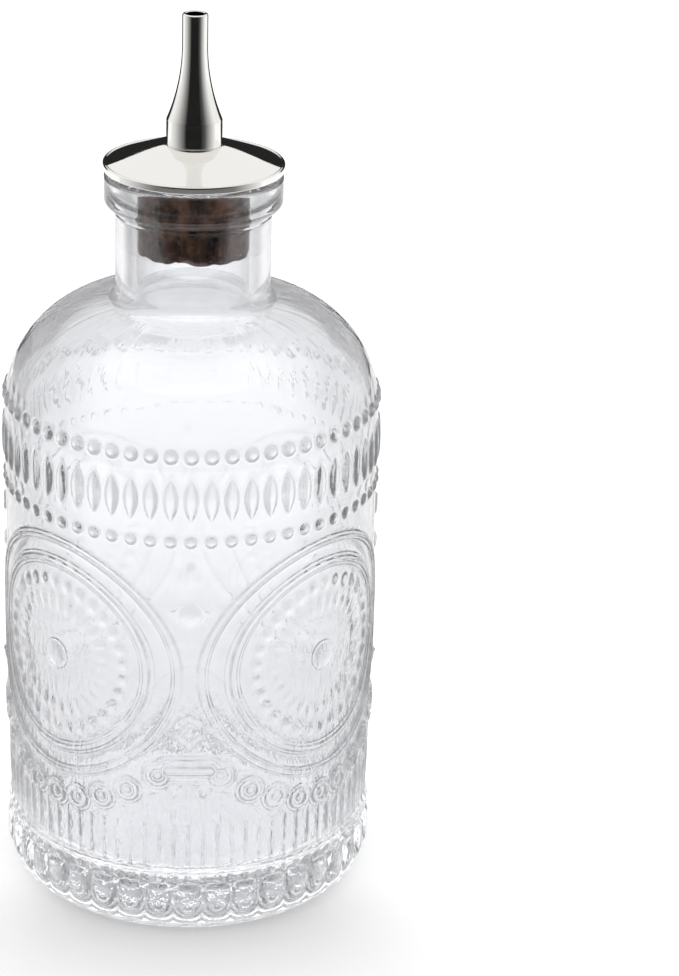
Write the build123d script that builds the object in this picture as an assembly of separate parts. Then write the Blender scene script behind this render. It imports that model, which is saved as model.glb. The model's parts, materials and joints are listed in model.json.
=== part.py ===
"""Bitters bottle: a pressed-glass bottle with a cork stopper that carries a metal dasher top.

Every length is in millimetres. +Z is up, the bottle stands on z = 0 with its axis on the Z axis,
and the front of the bottle faces -Y. Angles around the bottle are measured from the front.
"""

from build123d import *
from math import asin, atan2, cos, degrees, radians, sin, sqrt
import os

# Glass bottle
bottle_height = 123.7
body_radius = 31.0
shoulder_start = 84.2
shoulder_radius = 18.4
neck_radius = 12.72
lip_radius = 14.54
lip_height = 3.5
lip_undercut = 2.2
lip_bevel = 0.5
wall = 2.8
floor_thickness = 8.5
shoulder_end_angle = 78.0
shoulder_steps = 4
cavity_sides = 40
cavity_steps = 3

# Foot and waist of the bottle
foot_bevel = 1.6
foot_height = 9.7
waist_height = 12.3
punt_radius = 22.0
punt_depth = 1.2

# Bands of beads and almonds round the top of the body
columns = 60
band_bottom = 70.4
band_top = 88.6
band_proud = 0.1
bead_relief = 0.5
bead_height = 86.5
bead_radius = 1.3
almond_height = 79.1
almond_length = 7.3
almond_width = 2.6
almond_relief = 0.76

# Medallions and the bosses between them
medallions = 4
medallion_height = 48.2
medallion_gap = 0.97
medallion_ring_width = 1.3
medallion_boss_radius = 2.2
medallion_relief = 0.45
arcade_gap = 5.1
arcade_width = 2.6
gap_boss_height = 38.6
gap_boss_radius = 2.0
gap_boss_relief = 0.98
flower_height = 59.3
flower_radius = 1.8
flower_relief = 0.6
drop_height = 66.2
drop_length = 4.0
drop_width = 2.3
bar_height = 31.3
bar_length = 7.3
bar_width = 1.8

# Flutes above the waist and tongues of the foot
flute_count = 80
flute_width = 1.9
flute_depth = 0.5
flute_clearance = 0.7
tongue_count = 40
tongue_width = 4.0
tongue_bottom = 2.4
tongue_relief = 0.45

# How raised glass is shaped: the embedded root, the slope of its sides and the shares of its outline
relief_root = 0.15
side_slope = 50.0
boss_sides = 6
ring_sides = 24
almond_shoulder_share = 0.4

# Cork stopper
cork_radius = 9.2
cork_length = 13.6
cork_proud = 0.7
cork_clearance = 0.05

# Metal dasher top
disc_radius = 14.7
disc_rim_height = 1.2
dome_rise = 2.9
disc_ledge = 0.3
dome_crown_slope = 8.0
dome_steps = 2
spout_foot_radius = 4.57
spout_foot_height = 4.1
spout_neck_radius = 4.24
spout_neck_bevel = 0.65
spout_flare_height = 11.5
spout_flare_steps = 2
spout_tip_radius = 2.07
spout_length = 21.3
spout_bore_radius = 1.3
stem_radius = 3.0
stem_bore_radius = 1.6
stem_socket_depth = 3.0
stem_clearance = 0.04

# Length by which every cut runs past the solid it cuts
overrun = 1.0

# Places worked out from the sizes above
shoulder_axis_radius = body_radius - shoulder_radius
neck_top = bottle_height - lip_height - lip_undercut
bore_radius = cork_radius + cork_clearance
cork_top = bottle_height + cork_proud
cork_bottom = cork_top - cork_length
disc_top = cork_top + disc_rim_height
dome_top = disc_top + dome_rise
spout_flare_foot = dome_top + spout_foot_height + spout_neck_bevel
spout_top = dome_top + spout_length
stem_top = dome_top + stem_socket_depth
column_angle = 360 / columns
medallion_angle = 360 / medallions
medallion_half_width = body_radius * sin(radians(medallion_angle / 2)) - medallion_gap
medallion_radius = medallion_half_width - medallion_ring_width / 2
arcade_radius = medallion_radius + arcade_gap


def revolved(points):
    """Turn a closed outline of (radius, height) points about the bottle's axis."""
    return revolve(Plane.XZ * make_face(Polyline(*points, close=True)), Axis.Z)


def stacked(points, sides):
    """Stack prisms with flat sides through (flat radius, height) points, from the bottom up."""
    stack = []
    for (low_radius, low), (high_radius, high) in zip(points, points[1:]):
        outline = RegularPolygon(low_radius, sides, major_radius=False, rotation=180 / sides)
        lean = degrees(atan2(low_radius - high_radius, high - low))
        stack.append(Pos(0, 0, low) * extrude(outline, amount=high - low, taper=lean))
    return stack[0].fuse(*stack[1:])


def shoulder_points(radius, first_angle, steps):
    """Points up the round of the shoulder, from an angle above the horizontal to its end."""
    points = []
    for step in range(steps + 1):
        angle = radians(first_angle + (shoulder_end_angle - first_angle) * step / steps)
        points.append((shoulder_axis_radius + radius * cos(angle), shoulder_start + radius * sin(angle)))
    return points


band_turn = degrees(asin((band_top - shoulder_start) / shoulder_radius))
band_top_radius = shoulder_axis_radius + shoulder_radius * cos(radians(band_turn))
band_slope = degrees(atan2(body_radius - band_top_radius, band_top - shoulder_start))


def bottle_outside():
    """The plain outer form of the glass: round below, with one flat per column from the band up."""
    overlap = foot_bevel
    body = revolved([
        (0, 0),
        (body_radius - foot_bevel, 0),
        (body_radius, foot_bevel),
        (body_radius, band_bottom + overlap),
        (0, band_bottom + overlap),
    ])
    side = body_radius + band_proud
    band = [(side, band_bottom), (side, shoulder_start), (band_top_radius + band_proud, band_top)]
    shoulder = stacked(band + shoulder_points(shoulder_radius, band_turn, shoulder_steps)[1:], columns)
    neck = revolved([
        (0, shoulder_start),
        (neck_radius, shoulder_start),
        (neck_radius, neck_top),
        (lip_radius, neck_top + lip_undercut),
        (lip_radius, bottle_height - lip_bevel),
        (lip_radius - lip_bevel, bottle_height),
        (0, bottle_height),
    ])
    return [body, shoulder, neck]


def bottle_inside():
    """The cavity with its thick floor, and the bore that holds the cork."""
    floor = [(body_radius - wall, floor_thickness)]
    cavity = stacked(floor + shoulder_points(shoulder_radius - wall, 0, cavity_steps), cavity_sides)
    bore_length = bottle_height + overrun - shoulder_start
    bore = Pos(0, 0, shoulder_start + bore_length / 2) * Cylinder(bore_radius, bore_length)
    return [cavity, bore]


def raised(outline, relief):
    """A raised form with sloping sides, drawn with +X down the wall and its root below z = 0."""
    return Pos(0, 0, -relief_root) * extrude(outline, amount=relief_root + relief, taper=90 - side_slope)


def stud(outline, relief):
    """A faceted form that rises from an outline to a point, with its root below z = 0."""
    rise = relief_root + relief
    return Pos(0, 0, -relief_root) * loft([outline, Vertex(0, 0, rise)], ruled=True)


def on_wall(form, angle, height, radius, lean=0):
    """Set a raised form on the wall, at an angle from the front, a height and a wall radius."""
    return Rot(0, 0, angle - 90) * Pos(radius, 0, height) * Rot(0, 90 - lean, 0) * form


def leaf(length, width):
    """Outline of an almond, pointed at both ends."""
    shoulder = length / 2 * almond_shoulder_share
    points = [
        (length / 2, 0),
        (shoulder, width / 2),
        (-shoulder, width / 2),
        (-length / 2, 0),
        (-shoulder, -width / 2),
        (shoulder, -width / 2),
    ]
    return make_face(Polyline(*points, close=True))


def column_relief():
    """A row of almonds with a row of beads above it, one of each per column."""
    side = body_radius + band_proud
    lean_in = (bead_height - shoulder_start) / (band_top - shoulder_start)
    bead_side = side + (band_top_radius - body_radius) * lean_in
    bead = stud(RegularPolygon(bead_radius, boss_sides), bead_relief)
    almond = stud(leaf(almond_length, almond_width), almond_relief - band_proud)
    forms = []
    for column in range(columns):
        angle = column * column_angle
        forms.append(on_wall(bead, angle, bead_height, bead_side, -band_slope))
        forms.append(on_wall(almond, angle, almond_height, side))
    return forms


def medallion_ring(radius):
    """A ridge that is round when it is seen from straight ahead and that follows the wall."""
    half_width = medallion_ring_width / 2
    outline = RegularPolygon(radius + half_width, ring_sides) - RegularPolygon(radius - half_width, ring_sides)
    tube = Pos(0, 0, medallion_height) * Rot(0, 90, 0) * extrude(outline, amount=body_radius + overrun)
    reach = 2 * (radius + medallion_ring_width)
    skin = Cylinder(body_radius + medallion_relief, reach) - Cylinder(body_radius - relief_root, reach)
    return tube & (Pos(0, 0, medallion_height) * skin)


def medallion_forms():
    """The ring and centre boss of each medallion, and what stands in the gaps between them."""
    ring = medallion_ring(medallion_radius)
    centre = raised(RegularPolygon(medallion_boss_radius, boss_sides), medallion_relief)
    gap_boss = raised(RegularPolygon(gap_boss_radius, boss_sides), gap_boss_relief)
    flower = raised(RegularPolygon(flower_radius, boss_sides), flower_relief)
    drop = stud(leaf(drop_length, drop_width), medallion_relief)
    bar = raised(Rectangle(bar_width, bar_length), medallion_relief)
    forms = []
    for index in range(medallions):
        gap = index * medallion_angle
        middle = gap + medallion_angle / 2
        forms.append(Rot(0, 0, middle - 90) * ring)
        forms.append(on_wall(centre, middle, medallion_height, body_radius))
        forms.append(on_wall(gap_boss, gap, gap_boss_height, body_radius))
        forms.append(on_wall(flower, gap, flower_height, body_radius))
        forms.append(on_wall(drop, gap, drop_height, body_radius))
        forms.append(on_wall(bar, gap, bar_height, body_radius))
    return forms


def arcade_height(angle):
    """Height of the arcade below the nearest medallion, at an angle from the front."""
    across = body_radius * sin(radians(angle % medallion_angle - medallion_angle / 2))
    arch = medallion_height - sqrt(arcade_radius ** 2 - across ** 2)
    return min(arch, bar_height)


def flutes():
    """The V-shaped flutes cut between the ribs, from the waist up to the arcades."""
    bottom = waist_height + flute_clearance
    section = Polyline((0, -flute_width / 2), (-flute_depth, 0), (0, flute_width / 2), close=True)
    cuts = []
    for index in range(flute_count):
        angle = (index + 1 / 2) * 360 / flute_count
        top = arcade_height(angle) - arcade_width / 2 - flute_clearance
        flute = extrude(make_face(section), amount=top - bottom)
        cuts.append(Rot(0, 0, angle - 90) * Pos(body_radius, 0, bottom) * flute)
    return cuts


def foot_forms():
    """The ring of tongues round the foot."""
    form = raised(Rectangle(foot_height - tongue_bottom, tongue_width), tongue_relief)
    height = (foot_height + tongue_bottom) / 2
    return [on_wall(form, index * 360 / tongue_count, height, body_radius) for index in range(tongue_count)]


def make_glass_bottle():
    """The glass bottle, with its relief fused to it and its cavity cut out."""
    relief = column_relief() + medallion_forms() + foot_forms()
    body, shoulder, neck = bottle_outside()
    glass = body.fuse(shoulder, neck, *relief)
    punt = Pos(0, 0, (punt_depth - overrun) / 2) * Cylinder(punt_radius, punt_depth + overrun)
    return glass.cut(*bottle_inside(), punt, *flutes())


def make_cork_stopper():
    """The straight cork, bored for the stem."""
    cork = Cylinder(cork_radius, cork_length) - Cylinder(stem_radius + stem_clearance, cork_length + overrun)
    return Pos(0, 0, (cork_top + cork_bottom) / 2) * cork


def arc_points(start, end, end_slope, steps):
    """Points between two (radius, height) points on the arc that ends at a given slope."""
    run = start[0] - end[0]
    rise = end[1] - start[1]
    chord_angle = atan2(rise, run)
    half_turn = chord_angle - radians(end_slope)
    arc_radius = sqrt(run ** 2 + rise ** 2) / (2 * sin(half_turn))
    points = []
    for step in range(1, steps):
        angle = radians(end_slope) + 2 * half_turn * (1 - step / steps)
        radius = end[0] + arc_radius * (sin(angle) - sin(radians(end_slope)))
        points.append((radius, end[1] - arc_radius * (cos(radians(end_slope)) - cos(angle))))
    return points


def make_cap_disc():
    """The domed disc that rests on the cork, with a narrow ledge round the spout's foot."""
    hole_radius = stem_radius + stem_clearance
    rim = (disc_radius, disc_top)
    crown = (spout_foot_radius + disc_ledge, dome_top)
    return revolved([
        (hole_radius, cork_top),
        (disc_radius, cork_top),
        rim,
        *arc_points(rim, crown, dome_crown_slope, dome_steps),
        crown,
        (hole_radius, dome_top),
    ])


def make_dash_spout():
    """The tapered dashing spout, with a socket for the stem in its foot."""
    shoulder = (spout_neck_radius, spout_flare_foot)
    tip_foot = (spout_tip_radius, spout_flare_foot + spout_flare_height)
    points = [
        (spout_bore_radius, dome_top),
        (spout_foot_radius, dome_top),
        (spout_foot_radius, dome_top + spout_foot_height),
        shoulder,
        *arc_points(shoulder, tip_foot, 90, spout_flare_steps),
        tip_foot,
        (spout_tip_radius, spout_top),
        (spout_bore_radius, spout_top),
    ]
    socket_height = stem_socket_depth + overrun
    socket = Pos(0, 0, stem_top - socket_height / 2) * Cylinder(stem_radius + stem_clearance, socket_height)
    return revolved(points) - socket


def make_stem_tube():
    """The tube that joins the spout to the cork and lets the bitters through."""
    length = stem_top - cork_bottom
    tube = Cylinder(stem_radius, length) - Cylinder(stem_bore_radius, length + overrun)
    return Pos(0, 0, (stem_top + cork_bottom) / 2) * tube


parts = {
    "glass_bottle": make_glass_bottle(),
    "cork_stopper": make_cork_stopper(),
    "cap_disc": make_cap_disc(),
    "dash_spout": make_dash_spout(),
    "stem_tube": make_stem_tube(),
}

os.makedirs("parts", exist_ok=True)
for name, shape in parts.items():
    export_step(shape, f"parts/{name}.step")
    print(name, len(shape.solids()), round(shape.volume, 1))
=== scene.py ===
"""Looks of a pressed-glass bitters bottle with a cork stopper and a chromed dasher top.

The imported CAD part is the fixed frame. Shapes are drawn here in millimetres, in the frame's own axes, and
scaled to metres when a mesh is finished: +Z is up, the bottle stands on z = 0 and its front faces -Y.
Angles around the bottle are measured in degrees from the front, and turn towards +X.
"""

import json
import logging
from collections.abc import Sequence
from dataclasses import dataclass, field
from enum import Enum
from math import asin, atan2, cos, degrees, hypot, pi, radians, sin, sqrt, tan

import bmesh
import bpy
import numpy as np
from mathutils import Matrix, Vector, noise

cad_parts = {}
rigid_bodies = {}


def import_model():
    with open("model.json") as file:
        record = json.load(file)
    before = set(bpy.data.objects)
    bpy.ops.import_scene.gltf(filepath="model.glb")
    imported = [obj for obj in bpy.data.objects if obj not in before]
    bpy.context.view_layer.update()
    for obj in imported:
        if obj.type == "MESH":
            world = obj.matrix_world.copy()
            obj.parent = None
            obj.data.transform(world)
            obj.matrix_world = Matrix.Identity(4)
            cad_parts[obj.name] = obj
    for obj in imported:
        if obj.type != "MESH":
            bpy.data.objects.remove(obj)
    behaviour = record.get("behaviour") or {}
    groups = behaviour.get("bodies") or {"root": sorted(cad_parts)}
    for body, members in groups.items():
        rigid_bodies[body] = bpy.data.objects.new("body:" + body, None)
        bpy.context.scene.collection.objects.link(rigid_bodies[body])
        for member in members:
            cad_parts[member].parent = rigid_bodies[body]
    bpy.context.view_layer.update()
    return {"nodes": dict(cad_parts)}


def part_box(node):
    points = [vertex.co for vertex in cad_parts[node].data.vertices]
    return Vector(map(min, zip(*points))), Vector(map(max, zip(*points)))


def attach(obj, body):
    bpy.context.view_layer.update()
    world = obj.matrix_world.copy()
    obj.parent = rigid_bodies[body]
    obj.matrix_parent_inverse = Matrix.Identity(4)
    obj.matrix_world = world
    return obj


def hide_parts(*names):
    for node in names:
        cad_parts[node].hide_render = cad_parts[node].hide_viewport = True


MM = 0.001
TINY = 1e-6
MERGE_DISTANCE = 0.002
SUPPORT_SHARE = 0.2
SPARE_SHARE = 0.4
LIGHT_BOUNCES = 32
WHITE = (1.0, 1.0, 1.0, 1.0)
log = logging.getLogger("bitters_bottle")

Point = tuple[float, float]
Colour = tuple[float, float, float]
Stops = Sequence[tuple[float, float]]
Grid = np.ndarray


class Body(Enum):
    """The moving bodies of the frame."""

    BOTTLE = "bottle"
    STOPPER = "stopper"


class Slot(Enum):
    """The material slots of the record."""

    GLASS = "glass"
    CORK = "cork"
    METAL = "metal"
    STEM = "stem_metal"


# Outlines


@dataclass(frozen=True)
class Corner:
    """A corner of an outline: its radius from the axis, its height, and how far it is rounded."""

    r: float
    z: float
    rounding: float = 0.0
    steps: int = 5


def arc(centre: Point, radius: float, start: float, end: float, steps: int) -> list[Point]:
    """Points on an arc in the (radius, height) plane.

    Args:
        centre: Centre of the arc.
        radius: Radius of the arc.
        start: First angle above the horizontal, in degrees.
        end: Last angle, in degrees.
        steps: How many chords the arc is divided into.

    Returns:
        The points, both ends included.
    """
    angles = [radians(start + (end - start) * step / steps) for step in range(steps + 1)]
    return [(centre[0] + radius * cos(a), centre[1] + radius * sin(a)) for a in angles]


def bend(before: Corner, here: Corner, after: Corner) -> tuple[Vector, Vector, float]:
    """Measure the bend of an outline at a corner.

    Args:
        before: The corner before it.
        here: The corner.
        after: The corner after it.

    Returns:
        The directions back and onward, and how far along them the corner's arc reaches.
    """
    corner = Vector((here.r, here.z))
    back = (Vector((before.r, before.z)) - corner).normalized()
    onward = (Vector((after.r, after.z)) - corner).normalized()
    return back, onward, here.rounding / tan(back.angle(onward) / 2)


def rounded(corners: list[Corner]) -> list[Point]:
    """Points of an open outline whose inner corners are rounded by tangent arcs.

    A point just before and just after each arc keeps the shading of the straight parts flat.

    Args:
        corners: The corners in order; the first and the last stay sharp.

    Returns:
        The points of the outline.
    """
    bends = [bend(*three) for three in zip(corners, corners[1:], corners[2:])]
    reaches = [0.0, *(reach for _, _, reach in bends), 0.0]
    points = [(corners[0].r, corners[0].z)]
    for place, (back, onward, reach) in enumerate(bends, 1):
        here = corners[place]
        if not here.rounding:
            points.append((here.r, here.z))
            continue
        corner = Vector((here.r, here.z))
        half = back.angle(onward) / 2
        centre = corner + (back + onward).normalized() * here.rounding / sin(half)
        start, end = corner + back * reach - centre, corner + onward * reach - centre
        turn = pi - 2 * half
        if start.x * end.y - start.y * end.x < 0:
            turn = -turn
        curve = [
            centre + Matrix.Rotation(turn * step / here.steps, 2) @ start for step in range(here.steps + 1)
        ]
        supports = []
        for direction, other in ((back, place - 1), (onward, place + 1)):
            leg = hypot(corners[other].r - here.r, corners[other].z - here.z)
            spare = SPARE_SHARE * max(leg - reach - reaches[other], 0.0)
            supports.append(corner + direction * (reach + min(SUPPORT_SHARE * here.rounding, spare)))
        points += [(point.x, point.y) for point in (supports[0], *curve, supports[1])]
    points.append((corners[-1].r, corners[-1].z))
    return points


# Meshes


def spun(mesh: bmesh.types.BMesh, outline: list[Point], columns: int, share: float = 1.0) -> None:
    """Spin an open outline round the Z axis.

    Args:
        mesh: The mesh that the surface is added to.
        outline: The (radius, height) points.
        columns: How many columns of faces are made.
        share: How much of the full turn they cover.
    """
    vertices = [mesh.verts.new((0.0, -r, z)) for r, z in outline]
    edges = [mesh.edges.new(pair) for pair in zip(vertices, vertices[1:])]
    bmesh.ops.spin(
        mesh,
        geom=vertices + edges,
        cent=(0, 0, 0),
        axis=(0, 0, 1),
        dvec=(0, 0, 0),
        angle=2 * pi * share,
        steps=columns,
        use_merge=share == 1.0,
    )


def repeated(mesh: bmesh.types.BMesh, copies: int) -> None:
    """Repeat all of a mesh round the Z axis.

    Args:
        mesh: The mesh.
        copies: How many copies there are in all.
    """
    bmesh.ops.spin(
        mesh,
        geom=mesh.verts[:] + mesh.edges[:] + mesh.faces[:],
        cent=(0, 0, 0),
        axis=(0, 0, 1),
        dvec=(0, 0, 0),
        angle=2 * pi * (copies - 1) / copies,
        steps=copies - 1,
        use_duplicate=True,
    )


def close_rims(mesh: bmesh.types.BMesh) -> None:
    """Merge what meets in a mesh and bridge the two rims that are left open.

    Args:
        mesh: The mesh in millimetres.
    """
    bmesh.ops.remove_doubles(mesh, verts=mesh.verts, dist=MERGE_DISTANCE)
    bmesh.ops.bridge_loops(mesh, edges=[edge for edge in mesh.edges if edge.is_boundary])


def finished(
    name: str, mesh: bmesh.types.BMesh, material: bpy.types.Material, crease: float = 180.0
) -> bpy.types.Object:
    """Close the poles, turn the faces outwards, scale to metres and make the object.

    Args:
        name: Name of the piece.
        mesh: The mesh in millimetres; it is freed here.
        material: What the piece is made of.
        crease: Edges that turn by more than this many degrees stay sharp.

    Returns:
        The new object, at the origin.
    """
    bmesh.ops.remove_doubles(mesh, verts=mesh.verts, dist=MERGE_DISTANCE)
    bmesh.ops.recalc_face_normals(mesh, faces=mesh.faces)
    bmesh.ops.scale(mesh, vec=(MM, MM, MM), verts=mesh.verts)
    data = bpy.data.meshes.new(name)
    mesh.to_mesh(data)
    mesh.free()
    data.shade_smooth()
    if crease < 180:
        data.set_sharp_from_angle(angle=radians(crease))
    data.materials.append(material)
    piece = bpy.data.objects.new(name, data)
    bpy.context.scene.collection.objects.link(piece)
    log.info("%s: %d faces", name, len(data.polygons))
    return piece


def polar(mesh: bmesh.types.BMesh) -> tuple[Grid, Grid, Grid]:
    """Measure where the vertices of a mesh are.

    Args:
        mesh: The mesh.

    Returns:
        Radius, angle from the front in degrees, and height of every vertex.
    """
    places = np.array([v.co for v in mesh.verts]).reshape(-1, 3)
    x, y, z = places.T
    return np.hypot(x, y), np.degrees(np.arctan2(x, -y)), z


def set_radius(mesh: bmesh.types.BMesh, radius: Grid, angle: Grid) -> None:
    """Move every vertex of a mesh to a new radius at its own height.

    Args:
        mesh: The mesh.
        radius: The new radii.
        angle: The vertices' angles from the front, in degrees.
    """
    turn = np.radians(angle)
    for vertex, x, y in zip(mesh.verts, radius * np.sin(turn), -radius * np.cos(turn)):
        vertex.co.x = x
        vertex.co.y = y


# Raised forms, as heights in millimetres over the plain wall


def folded(angle: Grid, pitch: float, offset: float = 0.0) -> Grid:
    """Angle from the nearest copy of something that is repeated every pitch degrees from an offset."""
    return (angle - offset + pitch / 2) % pitch - pitch / 2


def dome(distance: Grid, fullness: float = 0.9) -> Grid:
    """A rounded form, 1 at its middle and 0 from a distance of 1 outwards."""
    return np.clip(1 - distance ** 2, 0, None) ** fullness


def ridge(distance: Grid, half_width: float) -> Grid:
    """A rounded ridge, 1 on its line and 0 from its half width outwards."""
    return np.cos(np.clip(distance / half_width, -1, 1) * pi / 2) ** 2


@dataclass
class ColumnBands:
    """The beads and almonds that stand in columns round the top of the body."""

    columns: int = 60
    upper_bead_height: float = 86.5
    upper_bead_radius: float = 1.25
    upper_bead_relief: float = 0.55
    lower_bead_height: float = 72.0
    lower_bead_radius: float = 1.05
    lower_bead_relief: float = 0.45
    almond_height: float = 79.1
    almond_half_length: float = 3.7
    almond_half_width: float = 1.3
    almond_relief: float = 0.55
    almond_fullness: float = 1.1
    almond_end_fullness: float = 0.4

    def relief(self, across: Grid, height: Grid) -> Grid:
        """Height of the forms over the wall.

        Args:
            across: Distance along the wall from the middle of the nearest column.
            height: Height above the table.

        Returns:
            The relief at each point.
        """
        upper = dome(np.hypot(across, height - self.upper_bead_height) / self.upper_bead_radius)
        lower = dome(np.hypot(across, height - self.lower_bead_height) / self.lower_bead_radius)
        along = np.clip((height - self.almond_height) / self.almond_half_length, -1, 1)
        taper = 1 - along ** 2
        edge = self.almond_half_width * taper + TINY
        almond = dome(across / edge, self.almond_fullness) * taper ** self.almond_end_fullness
        return self.upper_bead_relief * upper + self.lower_bead_relief * lower + self.almond_relief * almond


@dataclass
class Medallions:
    """The four medallions, round when seen square on, with their rings, beads and teardrops."""

    count: int = 4
    height: float = 48.2
    outer_ring: float = 20.45
    inner_ring: float = 16.4
    outer_half_width: float = 0.85
    inner_half_width: float = 1.0
    ring_relief: float = 0.45
    cove_depth: float = 0.12
    bead_count: int = 30
    bead_ring: float = 13.0
    bead_radius: float = 1.05
    bead_relief: float = 0.42
    drop_count: int = 30
    drop_ring: float = 9.5
    drop_half_length: float = 1.7
    drop_half_width: float = 0.62
    drop_relief: float = 0.26
    boss_radius: float = 2.5
    boss_relief: float = 0.6

    def relief(self, across: Grid, height: Grid) -> Grid:
        """Height of a medallion over the wall.

        Args:
            across: Sideways distance from the medallion's middle, as seen square on.
            height: Height above the table.

        Returns:
            The relief at each point.
        """
        rise = height - self.height
        reach = np.hypot(across, rise)
        turn = np.degrees(np.arctan2(across, rise))
        outer = ridge(reach - self.outer_ring, self.outer_half_width)
        inner = ridge(reach - self.inner_ring, self.inner_half_width)
        cove = ridge(reach - (self.outer_ring + self.inner_ring) / 2, (self.outer_ring - self.inner_ring) / 2)
        along_ring = self.bead_ring * np.radians(folded(turn, 360 / self.bead_count))
        bead = dome(np.hypot(along_ring, reach - self.bead_ring) / self.bead_radius)
        along_drops = reach * np.radians(folded(turn, 360 / self.drop_count, 180 / self.drop_count))
        inward = (reach - self.drop_ring) / self.drop_half_length
        drop = dome(np.hypot(along_drops / self.drop_half_width, inward))
        boss = dome(reach / self.boss_radius)
        return (
            self.ring_relief * (outer + inner)
            - self.cove_depth * cove
            + self.bead_relief * bead
            + self.drop_relief * drop
            + self.boss_relief * boss
        )


@dataclass
class GapForms:
    """What stands in each gap between two medallions, from the top down."""

    drop_height: float = 66.2
    drop_half_length: float = 2.0
    drop_half_width: float = 1.2
    drop_relief: float = 0.45
    drop_lean: float = 0.35
    flower_height: float = 59.3
    flower_radius: float = 1.8
    flower_relief: float = 0.6
    flower_petals: int = 4
    petal_share: float = 0.3
    boss_height: float = 38.6
    boss_radius: float = 2.05
    boss_rim_radius: float = 1.65
    boss_rim_relief: float = 0.55
    boss_rim_half_width: float = 0.55
    boss_bead_radius: float = 1.0
    boss_relief: float = 0.93
    tail_length: float = 3.1
    tail_relief: float = 0.35
    seed_height: float = 27.0
    seed_angle: float = 4.5
    seed_radius: float = 0.85
    seed_relief: float = 0.35

    def relief(self, across: Grid, angle: Grid, height: Grid, wall: float) -> Grid:
        """Height of the gap's forms over the wall.

        Args:
            across: Sideways distance from the gap's middle.
            angle: Angle from the gap's middle, in degrees.
            height: Height above the table.
            wall: Radius of the wall.

        Returns:
            The relief at each point.
        """
        along = np.clip((height - self.drop_height) / self.drop_half_length, -1, 1)
        drop_edge = self.drop_half_width * (1 - along ** 2) * (1 + self.drop_lean * (along - 1)) + TINY
        drop = dome(across / drop_edge) * (np.abs(along) < 1)
        turn = np.arctan2(across, height - self.flower_height)
        reach = np.hypot(across, height - self.flower_height) / self.flower_radius
        petals = np.cos(self.flower_petals * turn) * np.clip(reach * 2, 0, 1)
        flower = dome(reach) * (1 + self.petal_share * (petals - 1))
        reach = np.hypot(across, height - self.boss_height)
        rim = ridge(reach - self.boss_rim_radius, self.boss_rim_half_width)
        bead = dome(reach / self.boss_bead_radius)
        below = self.boss_height - height
        tail_edge = self.boss_radius * (1 - np.clip(below / self.tail_length, 0, 1)) + TINY
        tail = dome(across / tail_edge) * (below > 0) * (below < self.tail_length)
        boss = np.maximum(self.boss_rim_relief * rim, self.boss_relief * bead)
        seed_across = wall * np.radians(np.abs(angle) - self.seed_angle)
        seed = dome(np.hypot(seed_across, height - self.seed_height) / self.seed_radius)
        return (
            self.drop_relief * drop
            + self.flower_relief * flower
            + np.maximum(boss, self.tail_relief * tail)
            + self.seed_relief * seed
        )


@dataclass
class Arcade:
    """The bar, the scrolls and the scalloped line that close the flutes at their top."""

    bar_height: float = 31.3
    bar_half_length: float = 3.3
    bar_half_thickness: float = 0.95
    bar_relief: float = 0.6
    bar_fullness: float = 0.5
    bar_line_gap: float = 1.6
    scroll_angles: tuple[float, ...] = (9.5, 19.0, 27.5, 36.3, 45.0)
    scroll_heights: tuple[float, ...] = (30.3, 27.0, 24.9, 23.3, 22.8)
    scroll_ring: float = 1.55
    scroll_half_width: float = 0.5
    scroll_relief: float = 0.55
    scroll_bead_radius: float = 0.8
    line_gap: float = 2.5
    line_half_width: float = 0.45
    line_relief: float = 0.5

    def scroll_height(self, angle: Grid) -> Grid:
        """Height of the row of scrolls.

        Args:
            angle: Angle from the gap's middle, in degrees.

        Returns:
            The height above the table.
        """
        angles = (0.0, *self.scroll_angles)
        heights = (self.bar_height, *self.scroll_heights)
        return np.interp(np.abs(angle), angles, heights)

    def relief(self, across: Grid, angle: Grid, height: Grid, wall: float) -> Grid:
        """Height of the arcade over the wall; the arguments are those of GapForms.relief."""
        beyond = np.clip(np.abs(across) - self.bar_half_length, 0, None)
        from_bar = np.hypot(beyond, height - self.bar_height)
        raised = self.bar_relief * dome(from_bar / self.bar_half_thickness, self.bar_fullness)
        nearest = from_bar - self.bar_half_thickness + self.bar_line_gap
        for place, level in zip(self.scroll_angles, self.scroll_heights):
            sideways = wall * np.radians(np.abs(angle) - place)
            reach = np.hypot(sideways, height - level)
            scroll = np.maximum(
                ridge(reach - self.scroll_ring, self.scroll_half_width),
                dome(reach / self.scroll_bead_radius),
            )
            raised = np.maximum(raised, self.scroll_relief * scroll)
            nearest = np.minimum(nearest, reach)
        above = height > self.scroll_height(angle)
        line = ridge(nearest - self.line_gap, self.line_half_width) * above
        return np.maximum(raised, self.line_relief * line)


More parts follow.
